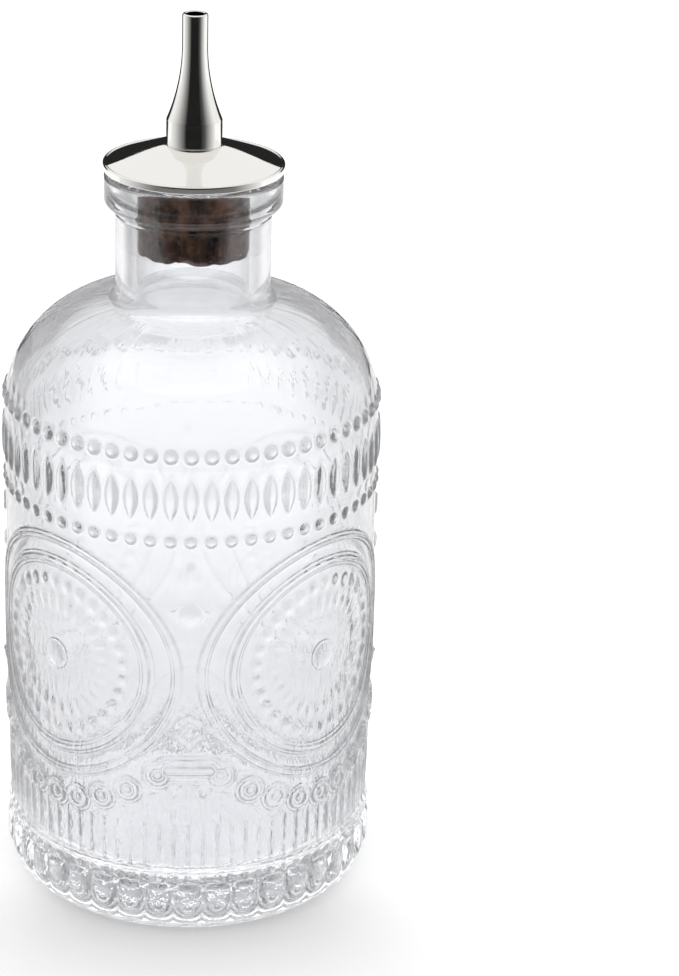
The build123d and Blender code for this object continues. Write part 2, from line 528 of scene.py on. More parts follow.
@dataclass
class FootForms:
    """The flutes above the waist, the strokes of the waist band and the tongues of the foot."""

    flute_count: int = 80
    flute_depth: float = 0.3
    flute_top_drop: float = 2.6
    flute_bottom: float = 12.2
    flute_bottom_share: float = 0.9
    flute_fullness: float = 3.0
    hairline_middle: float = 17.0
    hairline_reach: float = 4.2
    waist_height: float = 12.3
    waist_half_width: float = 0.4
    waist_relief: float = 0.3
    stroke_count: int = 80
    stroke_height: float = 10.9
    stroke_half_length: float = 0.95
    stroke_half_width: float = 0.7
    stroke_relief: float = 0.3
    tongue_count: int = 40
    tongue_spine_bottom: float = 6.1
    tongue_spine_top: float = 8.7
    tongue_half_width: float = 2.35
    tongue_relief: float = 0.75
    tongue_fullness: float = 0.6
    tongue_top_share: float = 2.0
    heel_height: float = 1.9
    heel_half_height: float = 2.0
    heel_relief: float = 0.45

    def relief(self, angle: Grid, height: Grid, arcade_height: Grid, wall: float) -> Grid:
        """Height of the foot's forms over the wall.

        Args:
            angle: Angle from the front, in degrees.
            height: Height above the table.
            arcade_height: Height of the arcade over each point.
            wall: Radius of the wall.

        Returns:
            The relief at each point, below zero in the flutes.
        """
        pitch = 360 / self.flute_count
        half_width = wall * radians(pitch) / 2
        across = wall * np.radians(folded(angle, pitch, pitch / 2)) / half_width
        top = arcade_height - self.flute_top_drop - half_width
        over = np.clip(height - top, 0, None) / half_width
        under = np.clip(self.flute_bottom + half_width - height, 0, None) / half_width
        end = np.maximum(over, under * self.flute_bottom_share)
        flute = 1 - np.clip(np.hypot(across, end), 0, 1) ** self.flute_fullness
        waist = ridge(height - self.waist_height, self.waist_half_width)
        pitch = 360 / self.stroke_count
        across = wall * np.radians(folded(angle, pitch)) / self.stroke_half_width
        stroke = dome(np.hypot(across, (height - self.stroke_height) / self.stroke_half_length))
        pitch = 360 / self.tongue_count
        across = wall * np.radians(folded(angle, pitch))
        below = np.clip(self.tongue_spine_bottom - height, 0, None)
        beyond = np.clip(height - self.tongue_spine_top, 0, None) * self.tongue_top_share
        reach = np.hypot(across, np.maximum(below, beyond)) / self.tongue_half_width
        tongue = dome(reach, self.tongue_fullness)
        between = 1 - np.abs(folded(angle, pitch, pitch / 2)) / (pitch / 2)
        heel = (between - 0.5) * ridge(height - self.heel_height, self.heel_half_height)
        return (
            self.heel_relief * heel
            + self.waist_relief * waist
            + self.stroke_relief * stroke
            + self.tongue_relief * tongue
            - self.flute_depth * flute
        )


# Finishes


@dataclass(frozen=True)
class Grain:
    """A noise pattern: how fine it is, per metre, how many finer layers it has and how strong they are."""

    scale: float
    detail: float = 2.0
    roughness: float = 0.5


@dataclass(frozen=True)
class Value:
    """A shader value; whatever is reckoned with it becomes a Math node."""

    nodes: "NodeGraph"
    socket: bpy.types.NodeSocket

    def __add__(self, other: "Value | float") -> "Value":
        """Add a value or a number."""
        return self.nodes.math("ADD", self, other)

    def __sub__(self, other: "Value | float") -> "Value":
        """Take a value or a number away."""
        return self.nodes.math("SUBTRACT", self, other)

    def __rsub__(self, other: float) -> "Value":
        """Take this value away from a number."""
        return self.nodes.math("SUBTRACT", other, self)

    def __mul__(self, other: "Value | float") -> "Value":
        """Multiply by a value or a number."""
        return self.nodes.math("MULTIPLY", self, other)

    def __truediv__(self, other: "Value | float") -> "Value":
        """Divide by a value or a number."""
        return self.nodes.math("DIVIDE", self, other)

    def __neg__(self) -> "Value":
        """Turn the sign round."""
        return self.nodes.math("MULTIPLY", self, -1.0)

    def __abs__(self) -> "Value":
        """Drop the sign."""
        return self.nodes.math("ABSOLUTE", self)

    def __gt__(self, other: "Value | float") -> "Value":
        """Give 1 where this value is the larger, and 0 elsewhere."""
        return self.nodes.math("GREATER_THAN", self, other)

    def __lt__(self, other: "Value | float") -> "Value":
        """Give 1 where this value is the smaller, and 0 elsewhere."""
        return self.nodes.math("LESS_THAN", self, other)

    def at_least(self, other: "Value | float") -> "Value":
        """Give the larger of two."""
        return self.nodes.math("MAXIMUM", self, other)

    def at_most(self, other: "Value | float") -> "Value":
        """Give the smaller of two."""
        return self.nodes.math("MINIMUM", self, other)

    def clamped(self) -> "Value":
        """Hold the result of the last Math node between 0 and 1."""
        self.socket.node.use_clamp = True
        return self

    def bulge(self) -> "Value":
        """Give 1 at no distance, falling to 0 at a distance of 1 and beyond."""
        return (1.0 - self * self).clamped()


class NodeGraph:
    """A small helper that adds shader nodes and joins them."""

    def __init__(self, tree: bpy.types.NodeTree) -> None:
        """Empty the tree and keep it."""
        tree.nodes.clear()
        self.tree = tree

    def set(self, socket: bpy.types.NodeSocket, value: object) -> None:
        """Link a value or a socket to an input, or set it to a plain number or colour.

        Args:
            socket: The input.
            value: What it gets.
        """
        if isinstance(value, Value):
            value = value.socket
        if isinstance(value, bpy.types.NodeSocket):
            self.tree.links.new(value, socket)
        else:
            socket.default_value = value

    def add(self, kind: str, settings: dict[str, str] | None = None, **inputs: object) -> bpy.types.Node:
        """Add a node.

        Args:
            kind: The node's type, without its ShaderNode prefix.
            settings: Properties of the node.
            inputs: What its inputs get, with _ for a space in their names.

        Returns:
            The new node.
        """
        node = self.tree.nodes.new("ShaderNode" + kind)
        for key, value in (settings or {}).items():
            setattr(node, key, value)
        for key, value in inputs.items():
            self.set(node.inputs[key.replace("_", " ")], value)
        return node

    def math(self, operation: str, *values: object) -> Value:
        """Add a Math node.

        Args:
            operation: What it does.
            values: Its inputs in order.

        Returns:
            Its result.
        """
        node = self.add("Math", {"operation": operation})
        for socket, value in zip(node.inputs, values):
            self.set(socket, value)
        return Value(self, node.outputs[0])

    def place(self) -> bpy.types.NodeSocket:
        """Object coordinates of the shaded point, in metres."""
        return self.add("TexCoord").outputs["Object"]

    def path(self, output: str) -> Value:
        """Read an output of Light Path."""
        return Value(self, self.add("LightPath").outputs[output])

    def split(self, vector: object) -> tuple[Value, Value, Value]:
        """Split a vector into its three values."""
        node = self.add("SeparateXYZ", Vector=vector)
        return tuple(Value(self, socket) for socket in node.outputs)

    def noise(self, place: object, grain: Grain) -> Value:
        """Add a noise pattern.

        Args:
            place: Where it is read.
            grain: What it is like.

        Returns:
            The pattern's level, about 0.5 on average.
        """
        settings = {"Scale": grain.scale, "Detail": grain.detail, "Roughness": grain.roughness}
        return Value(self, self.add("TexNoise", Vector=place, **settings).outputs["Fac"])

    def bump(self, height: Value, distance: float, strength: float, **under: object) -> bpy.types.NodeSocket:
        """Add a Bump node.

        Args:
            height: The height, in units of the distance.
            distance: How high a height of 1 is, in metres.
            strength: How much of the bump shows.
            under: Normal, where the bump lies on another one.

        Returns:
            The bumped normal.
        """
        node = self.add("Bump", Strength=strength, Distance=distance, Height=height, **under)
        return node.outputs["Normal"]

    def ramp(self, factor: Value, stops: Sequence[tuple[float, Colour]]) -> bpy.types.NodeSocket:
        """Add a Color Ramp.

        Args:
            factor: Where it is read, from 0 to 1.
            stops: Its places and colours, in order.

        Returns:
            The colour.
        """
        node = self.add("ValToRGB", Fac=factor)
        elements = node.color_ramp.elements
        for element, (place, colour) in zip(elements, (stops[0], stops[-1])):
            element.position = place
            element.color = (*colour, 1)
        for place, colour in stops[1:-1]:
            elements.new(place).color = (*colour, 1)
        return node.outputs["Color"]

    def hypot(self, one: Value, other: Value) -> Value:
        """Length of two sides at right angles."""
        return self.math("SQRT", one * one + other * other)

    def profile(self, value: Value, stops: Stops) -> Value:
        """Read a level off a line.

        Args:
            value: Where the line is read.
            stops: The line's points, as pairs of a value and a level, in order.

        Returns:
            The level.
        """
        low, high = stops[0][0], stops[-1][0]
        shares = [((place - low) / (high - low), (level,) * 3) for place, level in stops]
        return Value(self, self.ramp((value - low) / (high - low), shares))

    def map_range(self, value: Value, low: float, high: float, to_low: float, to_high: float) -> Value:
        """Go smoothly from one level to another.

        Args:
            value: What the level follows.
            low: The value where the change starts.
            high: The value where it ends.
            to_low: The level at the start.
            to_high: The level at the end.

        Returns:
            The level.
        """
        limits = {"From_Min": low, "From_Max": high, "To_Min": to_low, "To_Max": to_high}
        node = self.add("MapRange", {"interpolation_type": "SMOOTHSTEP"}, Value=value, **limits)
        return Value(self, node.outputs["Result"])

    def coat(self, **inputs: object) -> None:
        """Make the whole surface one Principled shader with these inputs."""
        shader = self.add("BsdfPrincipled", **inputs)
        self.add("OutputMaterial", Surface=shader.outputs["BSDF"])


def new_material(name: str) -> tuple[bpy.types.Material, NodeGraph]:
    """Make an empty material with nodes.

    Args:
        name: Name of the finish.

    Returns:
        The material, and the helper that fills it.
    """
    material = bpy.data.materials.new(name)
    material.use_nodes = True
    return material, NodeGraph(material.node_tree)


@dataclass(frozen=True)
class ClearGlass:
    """Colourless pressed glass with a fire-polished, slightly uneven skin, and painted shade along the steep
    edges of its relief.
    """

    tint: Colour = (0.962, 0.966, 0.982)
    # Painted shade: these darken the glass colour along the steep edges of the relief.
    edge_shade_tint: Colour = (0.30, 0.31, 0.33)
    edge_shade_slopes: Stops = ((0.60, 1.0), (0.80, 0.75), (0.96, 0.0), (1.0, 0.0))
    edge_shade_strengths: Stops = (
        (3.3, 0.0), (3.4, 0.85), (12.0, 0.8), (20.0, 0.62), (30.0, 0.85), (42.0, 0.7), (62.0, 0.3),
        (88.4, 0.28), (88.5, 0.0),
    )
    edge_shade_grain: Grain = Grain(260.0, 1.0)
    edge_shade_patches: Stops = ((0.38, 0.25), (0.50, 0.9), (0.62, 1.35))
    straight_share: float = 0.06
    back_share: float = 0.40
    back_depth: float = 2.5
    ior: float = 1.5
    specular: float = 0.25
    skin_radius: float = 29.5
    ripple_grain: Grain = Grain(90.0, 2.0, 0.45)
    ripple_height: float = 0.00012
    ripple_strength: float = 0.35
    ring_lines: tuple[float, ...] = (2.5, 15.6, 16.2, 16.8, 17.4, 19.9, 20.45, 21.0)
    ring_line_width: float = 0.26
    ring_line_height: float = 0.13
    band_edge_height: float = 0.22
    least_width: float = 0.001
    hairline_width: float = 0.3
    hairline_height: float = 0.15
    scroll_edges: Stops = (
        (0.0, 1.0), (0.55, 1.0), (0.85, 0.0), (1.05, 0.0), (1.3, 1.0), (1.8, 1.0), (2.05, 0.0), (2.25, 0.0),
        (2.5, 0.8), (2.75, 0.0),
    )
    scroll_edge_height: float = 0.16
    bar_edge_inset: float = 0.05
    mark_grain: Grain = Grain(520.0)
    mark_height: float = 0.32
    mark_top: float = 12.4
    arc_height: float = 0.11
    arcs_per_tongue: float = 2.2
    tongue_edge_height: float = 0.35
    streak_grain: Grain = Grain(38.0)
    streak_height: float = 0.30
    streak_top: float = 60.0
    streak_fade: float = 25.0
    sweep_grain: Grain = Grain(5.0, 3.0, 0.55)
    sweep_height: float = 0.10
    sweep_bottom: float = 88.0
    sweep_rise: float = 6.0
    sweep_top: float = 100.0
    stretch: float = 0.012
    absorption: Colour = (0.84, 0.86, 0.92)
    absorption_density: float = 3.0

    def columns(self, nodes: NodeGraph, turn: Value, count: int) -> Value:
        """Sideways distance from the nearest of a form's columns.

        Args:
            nodes: The material's node graph.
            turn: Angle round the bottle, in radians.
            count: How many columns there are.

        Returns:
            The distance along the wall, in millimetres.
        """
        half = pi / count
        return nodes.math("WRAP", turn, half, -half) * GlassBottle.body_radius

    def ring_lines_height(self, nodes: NodeGraph, x: Value, y: Value, z: Value) -> Value:
        """Height of the thin lines on the medallions' rings and boss.

        Args:
            nodes: The material's node graph.
            x: Place along X, in millimetres.
            y: Place along Y, in millimetres.
            z: Height above the table, in millimetres.

        Returns:
            The height in millimetres.
        """
        across = abs(x + y).at_most(abs(x - y)) / sqrt(2)
        from_middle = nodes.hypot(across, z - Medallions.height)
        stops = [(self.ring_lines[0] - 1, 0.0)]
        for line in self.ring_lines:
            stops += [(line - self.ring_line_width, 0.0), (line, 1.0), (line + self.ring_line_width, 0.0)]
        stops.append((self.ring_lines[-1] + 1, 0.0))
        return nodes.profile(from_middle, stops) * self.ring_line_height

    def band_edges(self, nodes: NodeGraph, turn: Value, z: Value) -> Value:
        """Height of the crisp edges of the beads and almonds.

        Args:
            nodes: The material's node graph.
            turn: Angle round the bottle, in radians.
            z: Height above the table, in millimetres.

        Returns:
            The height in millimetres.
        """
        across = self.columns(nodes, turn, ColumnBands.columns)
        taper = ((z - ColumnBands.almond_height) / ColumnBands.almond_half_length).bulge()
        half_width = taper * ColumnBands.almond_half_width + self.least_width
        edges = (across / half_width).bulge() * taper
        for level, radius in (
            (ColumnBands.upper_bead_height, ColumnBands.upper_bead_radius),
            (ColumnBands.lower_bead_height, ColumnBands.lower_bead_radius),
        ):
            edges = edges + (nodes.hypot(across, z - level) / radius).bulge()
        return edges * self.band_edge_height

    def hairlines(self, nodes: NodeGraph, turn: Value, z: Value) -> Value:
        """Height of the thin line between two flutes; the arguments are those of band_edges."""
        across = abs(self.columns(nodes, turn, FootForms.flute_count))
        line = (1.0 - across / self.hairline_width).clamped()
        on_flutes = nodes.math("COMPARE", z, FootForms.hairline_middle, FootForms.hairline_reach)
        return line * on_flutes * self.hairline_height

    def arcade_edges(self, nodes: NodeGraph, turn: Value, z: Value) -> Value:
        """Height of the crisp edges of the bar, scrolls and line; the arguments are those of band_edges."""
        arcade = Arcade()
        along = abs(nodes.math("WRAP", turn, pi / 4, -pi / 4)) * GlassBottle.body_radius
        beyond = (along - arcade.bar_half_length).at_least(0.0)
        nearest = nodes.hypot(beyond, z - arcade.bar_height) - self.bar_edge_inset
        for angle, level in zip(arcade.scroll_angles, arcade.scroll_heights):
            sideways = along - GlassBottle.body_radius * radians(angle)
            nearest = nearest.at_most(nodes.hypot(sideways, z - level))
        return nodes.profile(nearest, self.scroll_edges) * self.scroll_edge_height

    def foot_marks(self, nodes: NodeGraph, place: object, turn: Value, z: Value) -> Value:
        """Height of the edges of the tongues, the arcs below them and the marks of the mould.

        Args:
            nodes: The material's node graph.
            place: Object coordinates in metres.
            turn: Angle round the bottle, in radians.
            z: Height above the table, in millimetres.

        Returns:
            The height in millimetres.
        """
        across = self.columns(nodes, turn, FootForms.tongue_count)
        below = (FootForms.tongue_spine_bottom - z).at_least(0.0)
        distance = nodes.hypot(across, below) / FootForms.tongue_half_width
        wave = nodes.math("SINE", distance * (2 * pi * self.arcs_per_tongue))
        arcs = wave * (below > 0.0) * self.arc_height
        on_tongue = z < FootForms.tongue_spine_top + FootForms.tongue_half_width / 2
        edge = distance.bulge() * on_tongue * self.tongue_edge_height
        marks = nodes.noise(place, self.mark_grain) * self.mark_height
        return (marks + arcs + edge) * (z < self.mark_top)

    def fine_forms(self, nodes: NodeGraph, place: object) -> Value:
        """Height of the forms too fine for the mesh.

        Args:
            nodes: The material's node graph.
            place: Object coordinates in metres.

        Returns:
            The height over the skin, in millimetres.
        """
        scaled = nodes.add("VectorMath", {"operation": "SCALE"}, Vector=place, Scale=1 / MM)
        x, y, z = nodes.split(scaled.outputs["Vector"])
        reach = nodes.hypot(x, y)
        turn = nodes.math("ARCTAN2", x, -y)
        height = (
            self.ring_lines_height(nodes, x, y, z)
            + self.band_edges(nodes, turn, z)
            + self.hairlines(nodes, turn, z)
            + self.arcade_edges(nodes, turn, z)
            + self.foot_marks(nodes, place, turn, z)
        )
        around = nodes.add("CombineXYZ", X=x / reach, Y=y / reach, Z=z * self.stretch).outputs["Vector"]
        low = nodes.map_range(z, self.streak_top - self.streak_fade, self.streak_top, self.streak_height, 0.0)
        height = height + nodes.noise(around, self.streak_grain) * low
        risen = self.sweep_bottom + self.sweep_rise
        high = nodes.map_range(z, self.sweep_bottom, risen, 0.0, self.sweep_height)
        sweep = nodes.noise(around, self.sweep_grain) * high * (z < self.sweep_top)
        return height * (reach > self.skin_radius) + sweep

    def painted_edge_shade(self, nodes: NodeGraph, place: object, normal: object) -> Value:
        """How much painted shade darkens the glass along the steep edges of the relief, which draws its
        outlines.

        Args:
            nodes: The material's node graph.
            place: Object coordinates in metres.
            normal: The bumped normal.

        Returns:
            The strength of the painted edge shade, from 0 to 1.
        """
        x, y, z = nodes.split(place)
        flat = nodes.add("CombineXYZ", X=x, Y=y)
        outward = nodes.add("VectorMath", {"operation": "NORMALIZE"}, Vector=flat.outputs["Vector"])
        facing = nodes.add("VectorMath", {"operation": "DOT_PRODUCT"}, Vector=outward.outputs["Vector"])
        nodes.set(facing.inputs[1], normal)
        steep = nodes.profile(Value(nodes, facing.outputs["Value"]), self.edge_shade_slopes)
        strength = nodes.profile(z / MM, self.edge_shade_strengths)
        patches = nodes.profile(nodes.noise(place, self.edge_shade_grain), self.edge_shade_patches)
        outside = nodes.hypot(x, y) > self.skin_radius * MM
        return (steep * strength * patches * outside).clamped()

    def material(self) -> bpy.types.Material:
        """Build the glass material.

        Returns:
            The material.
        """
        material, nodes = new_material("pressed_glass")
        place = nodes.place()
        ripple = nodes.noise(place, self.ripple_grain)
        waves = nodes.bump(ripple, self.ripple_height, self.ripple_strength)
        at_back = nodes.path("Transmission Depth") > self.back_depth
        in_front = 1.0 - at_back
        normal = nodes.bump(self.fine_forms(nodes, place) * in_front, MM, 1.0, Normal=waves)
        # Painted shade: the base colour darkens along the steep edges of the relief on the front surfaces.
        edges = self.painted_edge_shade(nodes, place, normal) * in_front
        shader = nodes.add(
            "BsdfPrincipled",
            Base_Color=nodes.ramp(edges, ((0.0, self.tint), (1.0, self.edge_shade_tint))),
            Roughness=0.0,
            IOR=self.ior,
            Transmission_Weight=1.0,
            Specular_IOR_Level=self.specular,
            Normal=normal,
        )
        straight = nodes.add("BsdfTransparent", Color=(*(sqrt(channel) for channel in self.tint), 1))
        surface = nodes.add("MixShader", Fac=at_back * self.back_share + self.straight_share)
        nodes.set(surface.inputs[1], shader.outputs["BSDF"])
        nodes.set(surface.inputs[2], straight.outputs["BSDF"])
        body = nodes.add("VolumeAbsorption", Color=(*self.absorption, 1), Density=self.absorption_density)
        nodes.add("OutputMaterial", Surface=surface.outputs["Shader"], Volume=body.outputs["Volume"])
        return material


@dataclass(frozen=True)
class Chrome:
    """Bright chromed metal with faint handling marks, and painted shade inside the spout's bore."""

    colour: Colour = (0.86, 0.85, 0.82)
    roughness: float = 0.035
    smear_grain: Grain = Grain(160.0, 4.0, 0.6)
    smear_levels: Point = (0.35, 0.7)
    smear_share: float = 2.2
    scratch_grain: Grain = Grain(900.0, 3.0, 0.7)
    scratch_height: float = 0.000012
    scratch_strength: float = 0.25
    bore_radius: float = 0.00150
    bore_shade_colour: Colour = (0.03, 0.03, 0.03)

    def material(self) -> bpy.types.Material:
        """Build the chrome material, with painted shade inside the spout's bore.

        Returns:
            The material.
        """
        material, nodes = new_material("chrome")
        place = nodes.place()
        x, y, _ = nodes.split(place)
        # Painted shade: the metal is near black inside the bore's radius.
        outside_bore_shade = nodes.hypot(x, y) > self.bore_radius
        smear = nodes.noise(place, self.smear_grain)
        limits = (self.roughness, self.roughness * self.smear_share)
        scratch = nodes.noise(place, self.scratch_grain)
        nodes.coat(
            Base_Color=nodes.ramp(outside_bore_shade, ((0.0, self.bore_shade_colour), (1.0, self.colour))),
            Metallic=1.0,
            Roughness=nodes.map_range(smear, *self.smear_levels, *limits),
            Normal=nodes.bump(scratch, self.scratch_height, self.scratch_strength),
        )
        return material


@dataclass(frozen=True)
class BrushedSteel:
    """Plain steel tube, drawn along its length."""

    colour: Colour = (0.55, 0.55, 0.54)
    roughness: float = 0.28
    roughness_shares: Point = (0.7, 1.3)
    grain: Grain = Grain(2500.0, 3.0)
    grain_stretch: float = 0.03
    grain_levels: Point = (0.3, 0.7)
    grain_height: float = 0.00002
    grain_strength: float = 0.3

    def material(self) -> bpy.types.Material:
        """Build the steel material.

        Returns:
            The material.
        """
        material, nodes = new_material("drawn_steel")
        stretched = nodes.add("Mapping", Vector=nodes.place(), Scale=(1.0, 1.0, self.grain_stretch))
        grain = nodes.noise(stretched.outputs["Vector"], self.grain)
        limits = (self.roughness * share for share in self.roughness_shares)
        nodes.coat(
            Base_Color=(*self.colour, 1),
            Metallic=1.0,
            Roughness=nodes.map_range(grain, *self.grain_levels, *limits),
            Normal=nodes.bump(grain, self.grain_height, self.grain_strength),
        )
        return material


@dataclass(frozen=True)
class NaturalCork:
    """Brown cork with growth grain, darker pores and pale flecks."""

    tones: tuple[tuple[float, Colour], ...] = (
        (0.40, (0.010, 0.005, 0.004)),
        (0.50, (0.070, 0.035, 0.022)),
        (0.62, (0.210, 0.115, 0.072)),
    )
    pore_tint: Colour = (0.16, 0.12, 0.10)
    grain: Grain = Grain(480.0, 6.0, 0.65)
    grain_stretch: float = 0.28
    grain_rise: float = 0.4
    cloud_grain: Grain = Grain(300.0, 4.0, 0.65)
    pore_scale: float = 420.0
    pore_rim: Point = (0.16, 0.30)
    speckle_level: float = 0.52
    bump_height: float = 0.0005
    bump_strength: float = 0.7
    roughness: float = 0.85
    specular: float = 0.12

    def material(self) -> bpy.types.Material:
        """Build the cork material.

        Returns:
            The material.
        """
        material, nodes = new_material("natural_cork")
        place = nodes.place()
        upright = nodes.add("Mapping", Vector=place, Scale=(1.0, 1.0, self.grain_stretch))
        grain = nodes.noise(upright.outputs["Vector"], self.grain)
        cloud = nodes.noise(place, self.cloud_grain)
        pores = nodes.add("TexVoronoi", Vector=place, Scale=self.pore_scale)
        rims = nodes.map_range(Value(nodes, pores.outputs["Distance"]), *self.pore_rim, 0.0, 1.0)
        solid = rims.at_least(cloud > self.speckle_level)
        tone = nodes.add("Mix", {"data_type": "RGBA", "blend_type": "MULTIPLY"})
        for socket, value in (
            (tone.inputs[0], 1.0),
            (tone.inputs[6], nodes.ramp((grain + cloud) * 0.5, self.tones)),
            (tone.inputs[7], nodes.ramp(solid, ((0.0, self.pore_tint), (1.0, (1.0, 1.0, 1.0))))),
        ):
            nodes.set(socket, value)
        nodes.coat(
            Base_Color=tone.outputs[2],
            Roughness=self.roughness,
            Specular_IOR_Level=self.specular,
            Normal=nodes.bump(grain * self.grain_rise + solid, self.bump_height, self.bump_strength),
        )
        return material


# Pieces


@dataclass
class GlassBottle:
    """The pressed-glass bottle: one closed skin with its relief outside and a smooth cavity inside."""

    finish: ClearGlass = field(default_factory=ClearGlass)
    height: float = 123.7
    body_radius: float = 31.0
    wall_levels: tuple[float, ...] = (4.0, 9.6, 12.2, 15.0, 21.0, 27.0, 34.0)
    wall_insets: tuple[float, ...] = (0.25, 0.25, 0.05, 0.15, 0.0, -0.05, 0.0)
    shoulder_radius: float = 18.4
    shoulder_start: float = 84.2
    shoulder_end: float = 78.0
    shoulder_lead: float = 2.5
    shoulder_steps: int = 16
    neck_radius: float = 12.72
    neck_foot_rounding: float = 1.7
    seam_height: float = 117.1
    seam_half_width: float = 0.3
    seam_proud: float = 0.12
    lip_radius: float = 14.54
    lip_bottom: float = 118.2
    lip_roundings: tuple[float, ...] = (0.35, 1.4, 0.6)
    bore_radius: float = 9.25
    bore_roundings: Point = (0.7, 4.5)
    wall: float = 2.8
    inner_steps: int = 14
    floor_height: float = 8.5
    floor_rounding: float = 5.0
    floor_flat: float = 14.0
    floor_rise: float = 0.5
    inner_stops: Point = (60.0, 36.0)
    punt_radius: float = 22.0
    punt_depth: float = 1.2
    punt_flats: tuple[float, ...] = (9.0, 17.0, 20.8)
    punt_bevel: float = 0.9
    stand_width: float = 5.2
    stand_roundings: tuple[float, ...] = (0.5, 0.8, 0.9, 1.2)
    heel_radius: float = 30.4
    heel_height: float = 2.3
    foot_radius: float = 30.75
    foot_height: float = 3.6
    relief_columns: int = 480
    plain_columns: int = 96
    relief_top: float = 88.9
    row_spans: tuple[tuple[float, int], ...] = (
        (4.0, 12), (9.6, 10), (12.9, 8), (21.5, 24), (34.0, 62), (70.6, 9), (73.4, 2), (75.3, 15), (82.9, 2),
        (84.9, 12),
    )
    ripples: tuple[tuple[float, int, float], ...] = ((1.0, 3, 9.0), (0.6, 7, -6.0), (0.4, 13, 4.0))
    ripple_depth: float = 0.07
    ripple_reach: Point = (13.0, 28.5)
    ripple_heights: Point = (9.5, 97.0)
    bands: ColumnBands = field(default_factory=ColumnBands)
    medallions: Medallions = field(default_factory=Medallions)
    gaps: GapForms = field(default_factory=GapForms)
    arcade: Arcade = field(default_factory=Arcade)
    foot: FootForms = field(default_factory=FootForms)

    def wall_radius(self, height: Grid) -> Grid:
        """Radius of the plain outer wall under the relief, from the foot up to the shoulder.

        Args:
            height: Height above the table.

        Returns:
            The radius at each height.
        """
        straight = self.body_radius - np.interp(height, self.wall_levels, self.wall_insets)
        rise = np.clip(height - self.shoulder_start, 0, self.shoulder_radius)
        return straight - self.shoulder_radius + np.sqrt(self.shoulder_radius ** 2 - rise ** 2)

    def underside(self) -> list[Point]:
        """Outline of the punt, the ring that the bottle stands on, and the bevel up to the foot.

        Returns:
            The points from the axis outwards.
        """
        stand = self.punt_radius + self.punt_bevel
        *flats, last_flat = self.punt_flats
        punt_edge, inner_edge, outer_edge, heel = self.stand_roundings
        return [
            (0.0, self.punt_depth),
            *((flat, self.punt_depth) for flat in flats),
            *rounded([
                Corner(last_flat, self.punt_depth),
                Corner(self.punt_radius, self.punt_depth, punt_edge, 2),
                Corner(stand, 0.0, inner_edge, 2),
                Corner(stand + self.stand_width, 0.0, outer_edge, 2),
                Corner(self.heel_radius, self.heel_height, heel, 3),
                Corner(self.foot_radius, self.foot_height),
            ]),
        ]

    def relief_rows(self) -> list[Point]:
        """Rows of the relief wall, closer together where its forms are finer.

        Returns:
            Their radii and heights, from the foot up.
        """
        ends = [start for start, _ in self.row_spans[1:]] + [self.relief_top]
        levels = [
            start + (end - start) * step / count
            for (start, count), end in zip(self.row_spans, ends)
            for step in range(count)
        ]
        return [(float(self.wall_radius(level)), level) for level in (*levels, self.relief_top)]

    def relief(self, angle: Grid, height: Grid) -> Grid:
        """Height of all the raised forms over the plain wall.

        Args:
            angle: Angle from the front, in degrees.
            height: Height above the table.

        Returns:
            The relief at each point.
        """
        gap_pitch = 360 / self.medallions.count
        from_gap = folded(angle, gap_pitch)
        gap_across = self.body_radius * np.sin(np.radians(from_gap))
        from_medallion = folded(angle, gap_pitch, gap_pitch / 2)
        medallion_across = self.body_radius * np.sin(np.radians(from_medallion))
        column_across = self.body_radius * np.radians(folded(angle, 360 / self.bands.columns))
        arcade_height = self.arcade.scroll_height(from_gap)
        return (
            self.bands.relief(column_across, height)
            + self.medallions.relief(medallion_across, height)
            + self.gaps.relief(gap_across, from_gap, height, self.body_radius)
            + self.arcade.relief(gap_across, from_gap, height, self.body_radius)
            + self.foot.relief(angle, height, arcade_height, self.body_radius)
        )

    def plain_outline(self) -> list[Point]:
        """Outline from the shoulder over the lip, down the bore and the cavity to the middle of the floor.

        Returns:
            The points in order.
        """
        centre = (self.body_radius - self.shoulder_radius, self.shoulder_start)
        first = degrees(asin((self.relief_top - self.shoulder_start) / self.shoulder_radius))
        first += self.shoulder_lead
        outer = arc(centre, self.shoulder_radius, first, self.shoulder_end, self.shoulder_steps)
        inner = arc(centre, self.shoulder_radius - self.wall, self.shoulder_end, 0, self.inner_steps)
        slope = tan(radians(90 - self.shoulder_end))
        neck_foot = outer[-1][1] + slope * (outer[-1][0] - self.neck_radius)
        bore_foot = inner[0][1] + slope * (inner[0][0] - self.bore_radius)
        seam_rounding = self.seam_half_width / 2
        lip_under, lip_shoulder, lip_edge = self.lip_roundings
        bore_edge, bore_flare = self.bore_roundings
        neck = rounded([
            Corner(*outer[-1]),
            Corner(self.neck_radius, neck_foot, self.neck_foot_rounding, 10),
            Corner(self.neck_radius, self.seam_height - self.seam_half_width, seam_rounding, 2),
            Corner(self.neck_radius + self.seam_proud, self.seam_height, seam_rounding, 2),
            Corner(self.neck_radius, self.seam_height + self.seam_half_width, seam_rounding, 2),
            Corner(self.neck_radius, self.lip_bottom, lip_under, 3),
            Corner(self.lip_radius, self.lip_bottom, lip_shoulder, 7),
            Corner(self.lip_radius, self.height, lip_edge, 5),
            Corner(self.bore_radius, self.height, bore_edge, 5),
            Corner(self.bore_radius, bore_foot, bore_flare, 10),
            Corner(*inner[0]),
        ])
        inner_radius = inner[-1][0]
        floor = rounded([
            Corner(*inner[-1]),
            *(Corner(inner_radius, level) for level in self.inner_stops),
            Corner(inner_radius, self.floor_height, self.floor_rounding, 8),
            Corner(self.floor_flat, self.floor_height),
            Corner(0.0, self.floor_height + self.floor_rise),
        ])
        return outer[:-1] + neck + inner[1:-1] + floor

